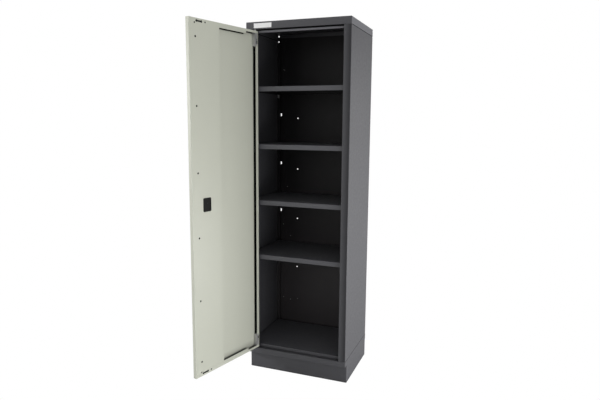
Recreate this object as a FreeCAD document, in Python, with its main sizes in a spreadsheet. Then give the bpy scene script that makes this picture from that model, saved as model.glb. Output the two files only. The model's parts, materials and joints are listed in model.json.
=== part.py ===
import FreeCAD, Part
import math
import os
import Sketcher

# Tall steel side locker for a row of workshop cabinets: a folded carcass on a recessed plinth,
# four shelves on clips, and one full-height inset door that turns on two sprung hinge pins and
# locks at the top and bottom with two rods.
#
# Frame: origin on the floor, midway between the sides and between the front and back faces.
# +X runs to the right seen from the front, +Y to the back, +Z up.  Millimetres and degrees.
# The door stands open; its pieces are drawn shut and then turned together about the hinge line.

DRIVING_SIZES = {
    # carcass
    "overall_width": 600.0,
    "overall_depth": 450.0,
    "overall_height": 2000.0,
    "carcass_sheet": 1.0,
    "outer_bend": 3.0,
    "rim_bend": 2.2,
    "seam_gap": 1.8,
    "cap_height": 39.0,
    "base_height": 32.0,
    "stile_width": 41.5,
    "stile_return": 18.0,
    "stile_lip": 16.0,
    "rear_flange": 42.0,
    "foot_flange": 26.0,
    "lap_above": 16.0,
    "lap_below": 14.0,
    "back_inset": 1.5,
    "post_width": 16.0,
    "post_depth": 20.0,
    "relief_width": 6.0,
    "relief_height": 9.0,
    "relief_drop": 6.0,
    # lintel over the door and floor stop under it
    "stop_gap": 3.5,
    "lintel_drop": 15.0,
    "floor_stop": 20.0,
    "stop_lip": 14.0,
    "lintel_flange": 24.0,
    # plinth
    "plinth_height": 104.0,
    "plinth_sheet": 2.0,
    "plinth_setback": 35.0,
    "plinth_inset": 1.0,
    "plinth_flange": 24.0,
    "base_front_lip": 64.0,
    "base_side_lip": 30.0,
    "plinth_bolt_radius": 4.0,
    "plinth_bolt_head": 6.5,
    "plinth_bolt_edge": 14.0,
    # shelves and clips
    "shelf_count": 4,
    "first_shelf_height": 697.0,
    "shelf_pitch": 320.0,
    "shelf_sheet": 1.0,
    "shelf_rim": 26.0,
    "shelf_lip": 12.0,
    "shelf_setback": 30.0,
    "shelf_side_gap": 2.0,
    "shelf_rear_gap": 1.0,
    "clip_thickness": 1.5,
    "clip_width": 10.0,
    "clip_drop": 20.0,
    "clip_bearing": 12.0,
    "hook_drop": 7.0,
    "clip_slot_fit": 0.4,
    "rear_slot_line": 9.0,
    # openings in the back
    "wall_hole_radius": 4.0,
    "wall_hole_spacing": 334.0,
    "wall_hole_pitch": 320.0,
    "first_wall_hole": 526.0,
    "light_slot_line": 19.5,
    "light_slot_width": 9.0,
    "light_slot_height": 18.0,
    "light_slot_rows": 3,
    "light_slot_pitch": 306.0,
    "first_light_slot": 896.0,
    "rivet_radius": 3.0,
    "rivet_head": 1.2,
    "rivet_shank": 1.6,
    "rivet_rows": 4,
    "rivet_end": 174.0,
    # door
    "door_open_angle": 104.0,
    "door_sheet": 1.0,
    "door_thickness": 20.0,
    "door_side_gap": 3.0,
    "door_top_gap": 9.0,
    "door_bottom_gap": 6.0,
    "side_lip": 20.0,
    "side_lip_narrow": 4.5,
    "end_lip": 24.0,
    "end_lip_narrow": 12.0,
    "door_bend": 1.6,
    "corner_reach": 98.0,
    "corner_height": 78.0,
    "channel_width": 208.0,
    "channel_foot": 12.0,
    "peg_hole_radius": 4.5,
    "peg_hole_backset": 43.0,
    "first_peg_hole": 79.0,
    "last_peg_hole": 86.0,
    "peg_hole_count": 6,
    # hinge
    "pin_backset": 7.5,
    "pin_depth": 6.5,
    "pin_radius": 3.5,
    "pin_clearance": 0.08,
    "pin_reach": 4.0,
    "pin_travel": 15.0,
    "bracket_sheet": 1.5,
    "bracket_width": 23.0,
    "bracket_height": 80.0,
    "spring_length": 24.0,
    "spring_wire": 1.0,
    "spring_turns": 5,
    "clip_groove": 0.7,
    "clip_ring": 1.2,
    "tab_height": 5.0,
    "tab_width": 4.0,
    "washer_radius": 6.0,
    # lock
    "lock_backset": 102.0,
    "lock_height": 1044.0,
    "cover_width": 55.0,
    "cover_height": 71.0,
    "cover_corner": 6.0,
    "cover_proud": 1.5,
    "cover_wall": 3.0,
    "case_width": 64.0,
    "case_height": 84.0,
    "case_depth": 6.0,
    "cam_radius": 17.0,
    "cam_thickness": 3.0,
    "crank_pin": 2.5,
    "crank_play": 0.7,
    "spindle_radius": 6.0,
    "spindle_square": 7.5,
    "square_length": 8.0,
    "rod_width": 16.0,
    "rod_thickness": 3.0,
    "rod_offset": 11.0,
    "rod_travel": 18.0,
    "rod_fit": 1.0,
    "rod_cover": 4.8,
    "guide_height": 22.0,
    "guide_inner": 20.0,
    "guide_outer": 70.0,
    "guide_hole_radius": 6.0,
    "guide_window": 33.0,
    "guide_window_height": 8.0,
    "guide_window_start": 17.0,
    "guide_window_drop": 13.0,
    "guide_screw_radius": 2.6,
    "guide_screw_bite": 4.0,
    "lock_screw_radius": 2.2,
    "lock_screw_line": 36.0,
    # handle
    "plate_width": 44.0,
    "plate_height": 110.0,
    "plate_depth": 7.0,
    "plate_corner": 12.0,
    "hub_radius": 17.0,
    "hub_depth": 24.0,
    "handle_gap": 0.3,
    "lever_length": 118.0,
    "lever_root": 24.0,
    "lever_tip": 17.0,
    "lever_depth": 12.0,
    "plug_radius": 7.0,
    "plug_depth": 12.0,
    "plug_fit": 0.08,
}

document = FreeCAD.newDocument("SideLocker")
sheet = document.addObject("Spreadsheet::Sheet", "Sizes")


class Size:
    """A number together with the spreadsheet expression that gives it."""

    def __init__(self, number, text):
        self.number = float(number)
        self.text = text

    def join(self, other, sign, number):
        return Size(number, "(%s %s %s)" % (self.text, sign, size_of(other).text))

    def __add__(self, other):
        return self.join(other, "+", self.number + size_of(other).number)

    def __sub__(self, other):
        return self.join(other, "-", self.number - size_of(other).number)

    def __mul__(self, other):
        return self.join(other, "*", self.number * size_of(other).number)

    def __truediv__(self, other):
        return self.join(other, "/", self.number / size_of(other).number)

    def __radd__(self, other):
        return size_of(other) + self

    def __rsub__(self, other):
        return size_of(other) - self

    def __rmul__(self, other):
        return size_of(other) * self

    def __neg__(self):
        return Size(-self.number, "(0 - %s)" % self.text)


def size_of(item):
    """Any plain number as a Size."""
    if isinstance(item, Size):
        return item
    return Size(item, repr(float(item)))


class Sizes:
    """The driving sizes by name, each tied to its own spreadsheet cell."""

    def __init__(self, table):
        for row, (name, number) in enumerate(table.items(), start=1):
            sheet.set("A%d" % row, name)
            sheet.set("B%d" % row, str(number))
            sheet.setAlias("B%d" % row, name)
            setattr(self, name, Size(number, "Sizes." + name))


s = Sizes(DRIVING_SIZES)
document.recompute()


# --------------------------------------------------------------------------------------------
# Drawing helpers
# --------------------------------------------------------------------------------------------

def bind(item, path, size):
    item.setExpression(path, size_of(size).text)


def origin_plane(body, role):
    for feature in body.Origin.OriginFeatures:
        if feature.Role == role:
            return feature
    raise ValueError("no origin plane " + role)


def place_point(drawing, geometry, vertex, x, y):
    """Tie one point of the drawing to its two coordinates."""
    for kind, size in (("DistanceX", x), ("DistanceY", y)):
        index = drawing.addConstraint(
            Sketcher.Constraint(kind, -1, 1, geometry, vertex, size.number))
        bind(drawing, "Constraints[%d]" % index, size)


def draw_polygon(drawing, points):
    points = [(size_of(x), size_of(y)) for x, y in points]
    corners = [FreeCAD.Vector(x.number, y.number, 0) for x, y in points]
    first = drawing.GeometryCount
    count = len(points)
    for index in range(count):
        drawing.addGeometry(Part.LineSegment(corners[index], corners[(index + 1) % count]))
    for index in range(count):
        drawing.addConstraint(Sketcher.Constraint(
            "Coincident", first + index, 2, first + (index + 1) % count, 1))
        place_point(drawing, first + index, 1, *points[index])


def draw_circle(drawing, centre, radius):
    x, y = (size_of(item) for item in centre)
    radius = size_of(radius)
    circle = Part.Circle(FreeCAD.Vector(x.number, y.number, 0), FreeCAD.Vector(0, 0, 1),
                         radius.number)
    geometry = drawing.addGeometry(circle)
    place_point(drawing, geometry, 3, x, y)
    index = drawing.addConstraint(Sketcher.Constraint("Radius", geometry, radius.number))
    bind(drawing, "Constraints[%d]" % index, radius)


def draw_rounded(drawing, centres, radii):
    """A closed outline of arcs about the given centres, anticlockwise, with tangent sides."""
    centres = [(size_of(x), size_of(y)) for x, y in centres]
    radii = [size_of(radius) for radius in radii]
    count = len(centres)
    first = drawing.GeometryCount

    def outward(index):
        """Direction square to the side that leaves this arc."""
        (x0, y0), (x1, y1) = centres[index % count], centres[(index + 1) % count]
        dx, dy = x1.number - x0.number, y1.number - y0.number
        span = math.hypot(dx, dy)
        lean = math.asin((radii[index % count].number - radii[(index + 1) % count].number) / span)
        return math.atan2(dy, dx) - math.pi / 2 + lean

    for index in range(count):
        x, y = centres[index]
        centre = FreeCAD.Vector(x.number, y.number, 0)
        start, end = outward(index - 1), outward(index)
        if end <= start:
            end += 2 * math.pi
        circle = Part.Circle(centre, FreeCAD.Vector(0, 0, 1), radii[index].number)
        drawing.addGeometry(Part.ArcOfCircle(circle, start, end))
    arcs = [drawing.Geometry[first + index] for index in range(count)]
    for index in range(count):
        drawing.addGeometry(Part.LineSegment(
            arcs[index].EndPoint, arcs[(index + 1) % count].StartPoint))
    for index in range(count):
        place_point(drawing, first + index, 3, *centres[index])
        number = drawing.addConstraint(
            Sketcher.Constraint("Radius", first + index, radii[index].number))
        bind(drawing, "Constraints[%d]" % number, radii[index])
        side = first + count + index
        drawing.addConstraint(Sketcher.Constraint("Tangent", first + index, 2, side, 1))
        drawing.addConstraint(Sketcher.Constraint(
            "Tangent", side, 2, first + (index + 1) % count, 1))


def rectangle(x0, y0, x1, y1):
    return draw_polygon, ([(x0, y0), (x1, y0), (x1, y1), (x0, y1)],)


def polygon(*points):
    return draw_polygon, (points,)


def disc(x, y, radius):
    return draw_circle, ((x, y), radius)


def slot(start, end, radius):
    return draw_rounded, ([start, end], [radius, radius])


def soft_rectangle(x, y, width, height, corner):
    """A rectangle about (x, y) with round corners."""
    right, up = width / 2 - corner, height / 2 - corner
    centres = [(x - right, y - up), (x + right, y - up), (x + right, y + up), (x - right, y + up)]
    return draw_rounded, (centres, [corner] * 4)


def new_body(label):
    body = document.addObject("PartDesign::Body", label)
    body.Label = label
    return body


def draw(body, name, plane, height, outlines):
    """A drawing on one of the body's own planes, moved along that plane's normal."""
    drawing = body.newObject("Sketcher::SketchObject", name + "_drawing")
    drawing.AttachmentSupport = (origin_plane(body, plane + "_Plane"), "")
    drawing.MapMode = "FlatFace"
    bind(drawing, "AttachmentOffset.Base.z", height)
    for maker, arguments in outlines:
        maker(drawing, *arguments)
    return drawing


def layer(body, kind, name, plane, low, high, outlines):
    """A pad or pocket between two levels; XZ drawings look towards -Y, so they start high."""
    height = -size_of(high) if plane == "XZ" else low
    drawing = draw(body, name, plane, height, outlines)
    feature = body.newObject("PartDesign::" + kind, name)
    feature.Profile = drawing
    bind(feature, "Length", size_of(high) - low)
    return feature


def slab(body, name, plane, low, high, *outlines):
    feature = layer(body, "Pad", name, plane, low, high, outlines)
    document.recompute()
    return feature


def cut(body, name, plane, low, high, *outlines):
    before = body.Tip.Shape.Volume
    feature = layer(body, "Pocket", name, plane, low, high, outlines)
    feature.Reversed = True
    document.recompute()
    if not feature.Shape.Volume < before:
        raise ValueError(body.Label + ": " + name + " cuts nothing")
    return feature


def repeat(body, name, feature, plane, axis, pitch, count):
    """Copies of a feature in a row, pitch apart."""
    pattern = body.newObject("PartDesign::LinearPattern", name)
    pattern.Originals = [feature]
    pattern.Direction = (origin_axis(body, axis), [""])
    pattern.Mode = "Spacing"
    bind(pattern, "Offset", pitch)
    bind(pattern, "Occurrences", count)
    body.Tip = pattern
    document.recompute()
    return pattern


def origin_axis(body, role):
    for feature in body.Origin.OriginFeatures:
        if feature.Role == role + "_Axis":
            return feature
    raise ValueError("no origin axis " + role)


def spin(body, name, points):
    """A turned form about the body's Z axis; points are radius and height."""
    drawing = draw(body, name, "XZ", 0, [polygon(*points)])
    feature = body.newObject("PartDesign::Revolution", name)
    feature.Profile = drawing
    feature.ReferenceAxis = (drawing, ["V_Axis"])
    feature.Angle = 360
    document.recompute()
    return feature


def round_edges(body, name, radius, wanted):
    """Fillet the edges whose two ends satisfy the test."""
    shape = body.Tip.Shape
    names = []
    for number, edge in enumerate(shape.Edges, start=1):
        ends = [vertex.Point for vertex in edge.Vertexes]
        if len(ends) == 2 and wanted(*ends):
            names.append("Edge%d" % number)
    base = body.Tip
    fillet = body.newObject("PartDesign::Fillet", name)
    fillet.Base = (base, names)
    bind(fillet, "Radius", radius)
    body.Tip = fillet
    document.recompute()
    return fillet


def near(first, second):
    return abs(first - size_of(second).number) < 0.01


# --------------------------------------------------------------------------------------------
# Levels and lines that several pieces share
# --------------------------------------------------------------------------------------------

half_width = s.overall_width / 2
half_depth = s.overall_depth / 2
front = -half_depth
base_top = s.plinth_height + s.base_height
cap_bottom = s.overall_height - s.cap_height
opening_half = half_width - s.stile_width
back_outer = half_depth - s.back_inset
back_inner = back_outer - s.carcass_sheet
flange_inner = back_inner - s.carcass_sheet
post_front = flange_inner - s.post_depth
stop_face = front + s.door_thickness + s.stop_gap
stile_back = front + s.stile_return
floor_top = base_top + s.floor_stop

door_left = s.door_side_gap - opening_half
door_right = opening_half - s.door_side_gap
door_bottom = base_top + s.door_bottom_gap
door_top = cap_bottom - s.door_top_gap
door_inner = front + s.door_thickness
pivot_x = door_left + s.pin_backset
pivot_y = front + s.pin_depth
lock_x = door_right - s.lock_backset
handle_back = front - s.plate_depth - s.handle_gap
rod_front = door_inner - s.door_sheet - s.rod_cover - s.rod_thickness
crank_radius = s.rod_travel / math.sqrt(2)

shelf_numbers = range(int(DRIVING_SIZES["shelf_count"]))


def shelf_top(number):
    return s.first_shelf_height + number * s.shelf_pitch


# --------------------------------------------------------------------------------------------
# Carcass
# --------------------------------------------------------------------------------------------

def outer_ring(wall, left, low, right, high):
    """Two outlines: a rectangle and the one that lies a wall inside it."""
    return (rectangle(left, low, right, high),
            rectangle(left + wall, low + wall, right - wall, high - wall))


def make_lid():
    lid = new_body("lid")
    sheet_metal = s.carcass_sheet
    slab(lid, "lid_top", "XY", s.overall_height - sheet_metal, s.overall_height,
         rectangle(-half_width, front, half_width, half_depth))
    slab(lid, "lid_skirt", "XY", cap_bottom, s.overall_height - sheet_metal,
         *outer_ring(sheet_metal, -half_width, front, half_width, half_depth))
    round_corners(lid, "lid_corners", half_depth)
    round_rim(lid, "lid_rim", s.overall_height, s.overall_height - sheet_metal)
    high = s.overall_height - s.relief_drop
    near_corner = half_depth - s.relief_width
    cut(lid, "lid_corner_reliefs", "XY", high - s.relief_height, high,
        *[rectangle(*ordered(side * (half_width - s.relief_width), side * half_width,
                             near_corner, half_depth)) for side in (-1, 1)])


def upright_at(x, y):
    """Test for the upright edges that lie at these distances from the middle."""
    def test(start, end):
        return (near(start.x, end.x) and near(start.y, end.y)
                and near(abs(start.x), x) and near(abs(start.y), y))
    return test


def round_corners(body, name, depth):
    """Bend the upright corners of a folded box about one centre inside and outside."""
    metal = s.carcass_sheet
    round_edges(body, name + "_outside", s.outer_bend, upright_at(half_width, depth))
    round_edges(body, name + "_inside", s.outer_bend - metal,
                upright_at(half_width - metal, depth - metal))


def round_rim(body, name, outside, inside):
    """Bend the edges round a folded box's flat face, given the levels of its two faces."""
    for part_name, level, radius in (("_outside", outside, s.rim_bend),
                                     ("_inside", inside, s.rim_bend - s.carcass_sheet)):
        round_edges(body, name + part_name, radius, lambda a, b: near(a.z, level)
                    and near(b.z, level) and on_outline(a) and on_outline(b))


def on_outline(point):
    """True within one bend of the carcass's outer faces."""
    reach = s.outer_bend.number + 0.01
    return (abs(point.x) > half_width.number - reach) or (abs(point.y) > half_depth.number - reach)


def make_lintel():
    """Rail behind the fascia: carries the upper hinge pin and rod, and stops the door."""
    lintel = new_body("lintel_rail")
    metal = s.carcass_sheet
    reach = opening_half - s.door_side_gap
    fascia_back = front + metal
    slab(lintel, "lintel_fold", "YZ", -reach, reach, polygon(
        (fascia_back, cap_bottom),
        (stop_face, cap_bottom),
        (stop_face, cap_bottom - s.lintel_drop),
        (stop_face + s.stop_lip, cap_bottom - s.lintel_drop),
        (stop_face + s.stop_lip, cap_bottom - s.lintel_drop + metal),
        (stop_face + metal, cap_bottom - s.lintel_drop + metal),
        (stop_face + metal, cap_bottom + metal),
        (fascia_back + metal, cap_bottom + metal),
        (fascia_back + metal, cap_bottom + s.lintel_flange),
        (fascia_back, cap_bottom + s.lintel_flange)))
    cut(lintel, "lintel_openings", "XY", cap_bottom, cap_bottom + metal,
        disc(pivot_x, pivot_y, s.pin_radius + s.pin_clearance),
        rod_slot(1))


def rod_slot(side):
    """Outline of the hole that a lock rod enters: side 1 for the upper rod, -1 for the lower."""
    middle = lock_x + side * s.rod_offset
    half = s.rod_width / 2 + s.rod_fit
    return rectangle(middle - half, rod_front - s.rod_fit,
                     middle + half, rod_front + s.rod_thickness + s.rod_fit)


def folded_side(side):
    """Outline of a side panel's fold, seen from above: flange, skin, stile, return and lip."""
    metal = s.carcass_sheet
    inside = half_width - metal
    edge = opening_half
    flange_edge = half_width - s.rear_flange
    points = [(half_width, front), (half_width, back_inner), (flange_edge, back_inner),
              (flange_edge, flange_inner), (inside, flange_inner), (inside, front + metal),
              (edge + metal, front + metal), (edge + metal, stile_back - metal),
              (edge + s.stile_lip, stile_back - metal), (edge + s.stile_lip, stile_back),
              (edge, stile_back), (edge, front)]
    return polygon(*[(side * x, y) for x, y in points])


def side_lap(side):
    """Outline of the set-back edge of a side panel that fits inside the lid and on the tray."""
    metal = s.carcass_sheet
    outside, inside = half_width - metal, half_width - 2 * metal
    rear = back_inner - s.outer_bend
    edge = opening_half + 2 * metal
    points = [(outside, front + metal), (outside, rear), (inside, rear),
              (inside, front + 2 * metal), (edge, front + 2 * metal), (edge, front + metal)]
    return polygon(*[(side * x, y) for x, y in points])


def make_side_panel(label, side):
    """Skin, front stile and rear flange folded from one sheet, with set-back laps at both ends."""
    panel = new_body(label)
    metal = s.carcass_sheet
    skin_low, skin_high = base_top + s.seam_gap, cap_bottom - s.seam_gap
    slab(panel, "panel_fold", "XY", skin_low, skin_high,
         folded_side(side))
    bend = s.outer_bend
    for name, outside, inside in (
            ("corner_bend", (half_width, half_depth), (half_width - metal, half_depth - metal)),
            ("flange_bend", (half_width, back_inner), (half_width - metal, flange_inner)),
            ("stile_bend", (opening_half, half_depth), (opening_half + metal, half_depth - metal))):
        round_edges(panel, name + "_outside", bend, upright_at(*outside))
        round_edges(panel, name + "_inside", bend - metal, upright_at(*inside))
    slab(panel, "panel_top_lap", "XY", cap_bottom - s.lap_below, cap_bottom + s.lap_above,
         side_lap(side))
    slab(panel, "panel_foot_lap", "XY", base_top, base_top + s.lap_below,
         side_lap(side))
    round_edges(panel, "lap_bend_outside", bend - metal,
                upright_at(half_width - metal, half_depth - metal))
    round_edges(panel, "lap_bend_inside", bend - 2 * metal,
                upright_at(half_width - 2 * metal, half_depth - 2 * metal))
    slab(panel, "panel_foot", "XY", base_top, base_top + metal,
         rectangle(*ordered(side * (half_width - metal), side * (half_width - s.foot_flange),
                            stile_back + metal, post_front - metal)))
    lip_middle = opening_half + (s.stile_lip + metal) / 2
    front_slots = cut(panel, "panel_clip_slots", "XZ", stile_back - metal, stile_back,
                      clip_slot(side * lip_middle, shelf_top(0)))
    repeat(panel, "panel_clip_slot_row", front_slots, "XY", "Z", s.shelf_pitch, s.shelf_count)
    rows = cut(panel, "panel_light_slots", "XZ", flange_inner, back_inner,
               light_slot(side))
    repeat(panel, "panel_light_slot_row", rows, "XY", "Z", s.light_slot_pitch, s.light_slot_rows)
    cut(panel, "panel_rivet_holes", "XZ", flange_inner, back_inner, *rivet_holes(side))
    cut(panel, "panel_corner_notch", "XY", skin_high - s.relief_drop, skin_high,
        rectangle(*ordered(side * (half_width - s.relief_width), side * half_width,
                           back_inner - s.relief_width, back_inner)))


def ordered(x0, x1, y0, y1):
    """Corner values of a rectangle with the smaller x first."""
    low, high = (x0, x1) if x0.number < x1.number else (x1, x0)
    return low, y0, high, y1


def clip_slot(x, top):
    """Outline of the upright slot that takes one clip's hook under a shelf."""
    half = s.clip_width / 2 + s.clip_slot_fit
    high = clip_top(top) - s.clip_thickness
    return rectangle(x - half, high - s.hook_drop - s.clip_slot_fit, x + half, high)


def clip_top(top):
    return top - s.shelf_rim


def rivet_places():
    x = half_width - s.rear_flange + s.rivet_radius * 1.5
    low, high = base_top + s.rivet_end, cap_bottom - s.rivet_end
    steps = int(s.rivet_rows.number) - 1
    return [(side * x, low + (high - low) * row / steps)
            for side in (-1, 1) for row in range(steps + 1)]


def rivet_holes(side):
    """Outlines of the rivet holes down one rear edge."""
    return [disc(x, z, s.rivet_shank) for x, z in rivet_places() if x.number * side > 0]


def light_slot(side):
    x = side * (half_width - s.light_slot_line)
    half = s.light_slot_height / 2 - s.light_slot_width / 2
    return slot((x, s.first_light_slot - half), (x, s.first_light_slot + half),
                s.light_slot_width / 2)


def make_post(label, side):
    """Slotted upright in a rear corner; the rear shelf clips hook into its front face."""
    post = new_body(label)
    metal = s.carcass_sheet
    outside = half_width - metal
    inside = outside - s.post_width
    clear_of_bend = flange_inner - s.outer_bend + metal
    points = [(outside, clear_of_bend), (outside, post_front), (inside, post_front),
              (inside, flange_inner), (inside + metal, flange_inner),
              (inside + metal, post_front + metal), (outside - metal, post_front + metal),
              (outside - metal, clear_of_bend)]
    slab(post, "post_fold", "XY", base_top + s.lap_below, cap_bottom - s.lap_below,
         polygon(*[(side * x, y) for x, y in points]))
    x = side * (half_width - s.rear_slot_line)
    slots = cut(post, "post_clip_slots", "XZ", post_front, post_front + metal,
                clip_slot(x, shelf_top(0)))
    repeat(post, "post_clip_slot_row", slots, "XY", "Z", s.shelf_pitch, s.shelf_count)


def make_back_panel():
    back = new_body("back_panel")
    metal = s.carcass_sheet
    wide, narrow = half_width - metal, half_width - s.relief_width
    shoulder, high = cap_bottom - s.lap_below, cap_bottom + s.lap_above
    slab(back, "back_sheet", "XZ", back_inner, back_outer, polygon(
        (-wide, base_top), (wide, base_top), (wide, shoulder), (narrow, shoulder),
        (narrow, high), (-narrow, high), (-narrow, shoulder), (-wide, shoulder)))
    holes = [disc(side * s.wall_hole_spacing / 2, s.first_wall_hole, s.wall_hole_radius)
             for side in (-1, 1)]
    wall_holes = cut(back, "wall_holes", "XZ", back_inner, back_outer, *holes)
    repeat(back, "wall_hole_rows", wall_holes, "XY", "Z", s.wall_hole_pitch, 4)
    slots = cut(back, "back_light_slots", "XZ", back_inner, back_outer,
                light_slot(-1), light_slot(1))
    repeat(back, "back_light_slot_rows", slots, "XY", "Z", s.light_slot_pitch, s.light_slot_rows)
    cut(back, "back_rivet_holes", "XZ", back_inner, back_outer,
        *rivet_holes(-1), *rivet_holes(1))


def make_base_tray():
    """Open-bottomed tray under the whole carcass, with lips that sit on the plinth."""
    tray = new_body("base_tray")
    metal = s.carcass_sheet
    slab(tray, "tray_top", "XY", base_top - metal, base_top,
         rectangle(-half_width, front, half_width, half_depth))
    slab(tray, "tray_skirt", "XY", s.plinth_height + metal, base_top - metal,
         *outer_ring(metal, -half_width, front, half_width, half_depth))
    lip_x = half_width - s.base_side_lip
    slab(tray, "tray_lips", "XY", s.plinth_height, s.plinth_height + metal,
         rectangle(-half_width, front, half_width, half_depth),
         rectangle(-lip_x, front + s.base_front_lip, lip_x, half_depth - s.base_side_lip))
    round_corners(tray, "tray_corners", half_depth)
    round_rim(tray, "tray_rim", base_top, base_top - metal)
    round_rim(tray, "tray_foot", s.plinth_height, s.plinth_height + metal)
    cut(tray, "tray_openings", "XY", base_top - metal, base_top,
        disc(pivot_x, pivot_y, s.pin_radius + s.pin_clearance),
        rod_slot(-1))
    cut(tray, "tray_bolt_holes", "XY", s.plinth_height, s.plinth_height + metal,
        *[disc(x, y, s.plinth_bolt_radius + 0.5) for x, y in plinth_bolt_places()])


def plinth_bolt_places():
    x = half_width - s.plinth_inset - s.plinth_bolt_edge
    near_front = front + s.plinth_setback + s.plinth_bolt_edge
    near_back = half_depth - s.plinth_inset - s.plinth_bolt_edge
    return [(side * x, y) for side in (-1, 1) for y in (near_front, near_back)]


def make_plinth():
    """Welded frame of channel section, set back at the front for feet."""
    plinth = new_body("plinth_frame")
    left, right = s.plinth_inset - half_width, half_width - s.plinth_inset
    low, high = front + s.plinth_setback, half_depth - s.plinth_inset
    metal = s.plinth_sheet
    slab(plinth, "plinth_wall", "XY", metal, s.plinth_height - metal,
         *outer_ring(metal, left, low, right, high))
    slab(plinth, "plinth_foot", "XY", 0, metal,
         *outer_ring(s.plinth_flange, left, low, right, high))
    slab(plinth, "plinth_head", "XY", s.plinth_height - metal, s.plinth_height,
         *outer_ring(s.plinth_flange, left, low, right, high))
    cut(plinth, "plinth_bolt_holes", "XY", s.plinth_height - metal, s.plinth_height,
        *[disc(x, y, s.plinth_bolt_radius + 0.5) for x, y in plinth_bolt_places()])
    round_edges(plinth, "plinth_corners", s.outer_bend, lambda a, b:
                near(a.x, b.x) and near(a.y, b.y) and near(abs(a.x), right)
                and (near(a.y, low) or near(a.y, high)))


def make_floor_panel():
    """Raised floor; its front rim is the lower stop of the door."""
    floor = new_body("floor_panel")
    metal = s.shelf_sheet
    reach = half_width - s.carcass_sheet - s.shelf_side_gap
    rear = post_front - s.shelf_rear_gap
    slab(floor, "floor_sheet", "XY", floor_top - metal, floor_top,
         rectangle(-reach, stop_face, reach, rear))
    slab(floor, "floor_rim", "XY", base_top + s.carcass_sheet, floor_top - metal,
         *outer_ring(metal, -reach, stop_face, reach, rear))
    slab(floor, "floor_feet", "XY", base_top, base_top + s.carcass_sheet,
         rectangle(s.foot_flange - reach, rear - s.shelf_lip, reach - s.foot_flange, rear))


def make_shelf(number):
    """Pressed shelf: a sheet with a rim all round and stiffening lips at the front and back."""
    shelf = new_body("shelf_%d" % (number + 1))
    metal = s.shelf_sheet
    reach = half_width - s.carcass_sheet - s.shelf_side_gap
    low, high = front + s.shelf_setback, post_front - s.shelf_rear_gap
    top = shelf_top(number)
    slab(shelf, "shelf_sheet", "XY", top - metal, top, rectangle(-reach, low, reach, high))
    slab(shelf, "shelf_rim", "XY", top - s.shelf_rim, top - metal,
         *outer_ring(metal, -reach, low, reach, high))
    slab(shelf, "shelf_front_lip", "XY", top - s.shelf_rim, top - s.shelf_rim + metal,
         rectangle(metal - reach, low + metal, reach - metal, low + s.shelf_lip))
    slab(shelf, "shelf_rear_lip", "XY", top - s.shelf_rim, top - s.shelf_rim + metal,
         rectangle(metal - reach, high - s.shelf_lip, reach - metal, high - metal))
    round_edges(shelf, "shelf_bends", s.outer_bend * 0.45, lambda a, b:
                near(a.z, top) and near(b.z, top))


def hook_clip(x, wall, away, ledge, top):
    """One shelf clip: ledge, upright leg and hook through a slot; away is +1 or -1 along Y."""
    thick = s.clip_thickness.number
    wide = s.clip_width.number
    high = clip_top(top).number
    metal = s.carcass_sheet.number
    gap = s.clip_slot_fit.number / 2
    profile = [(0, high), (0, high - s.clip_drop.number),
               (thick, high - s.clip_drop.number), (thick, high - thick),
               (ledge, high - thick), (ledge, high)]
    slot_low = high - thick - s.hook_drop.number
    hook = [(0, slot_low + gap), (-metal - gap, slot_low + gap),
            (-metal - gap, slot_low - s.hook_drop.number),
            (-metal - gap - thick, slot_low - s.hook_drop.number),
            (-metal - gap - thick, high - thick - gap), (0, high - thick - gap)]
    solids = []
    for outline in (profile, hook):
        corners = [FreeCAD.Vector(x - wide / 2, wall + away * y, z) for y, z in outline]
        face = Part.Face(Part.makePolygon(corners + corners[:1]))
        solids.append(face.extrude(FreeCAD.Vector(wide, 0, 0)))
    return solids[0].fuse(solids[1]).removeSplitter()


def make_shelf_clips(number):
    """Four clips under one shelf."""
    front_x = (opening_half + (s.stile_lip + s.carcass_sheet) / 2).number
    rear_x = (half_width - s.rear_slot_line).number
    front_ledge = (s.shelf_setback - s.stile_return + s.clip_bearing).number
    rear_ledge = (s.shelf_rear_gap + s.clip_bearing).number
    top = shelf_top(number)
    clips = []
    for side in (-1, 1):
        clips.append(hook_clip(side * front_x, stile_back.number, 1, front_ledge, top))
        clips.append(hook_clip(side * rear_x, post_front.number, -1, rear_ledge, top))
    add_shape("shelf_clips_%d" % (number + 1), Part.makeCompound(clips))


def add_shape(label, shape, placement=None):
    feature = document.addObject("Part::Feature", label)
    feature.Label = label
    feature.Shape = shape
    if placement is not None:
        feature.Placement = placement
    return feature


def turned(points, direction=FreeCAD.Vector(0, 0, 1)):
    """A solid of revolution about Z from radius and height pairs."""
    corners = [FreeCAD.Vector(radius, 0, height) for radius, height in points]
    face = Part.Face(Part.makePolygon(corners + corners[:1]))
    return face.revolve(FreeCAD.Vector(0, 0, 0), direction, 360)


def hexagon_prism(radius, low, high):
    corners = [FreeCAD.Vector(radius * math.cos(turn), radius * math.sin(turn), low)
               for turn in [math.radians(60 * step) for step in range(6)]]
    face = Part.Face(Part.makePolygon(corners + corners[:1]))
    return face.extrude(FreeCAD.Vector(0, 0, high - low))


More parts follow.
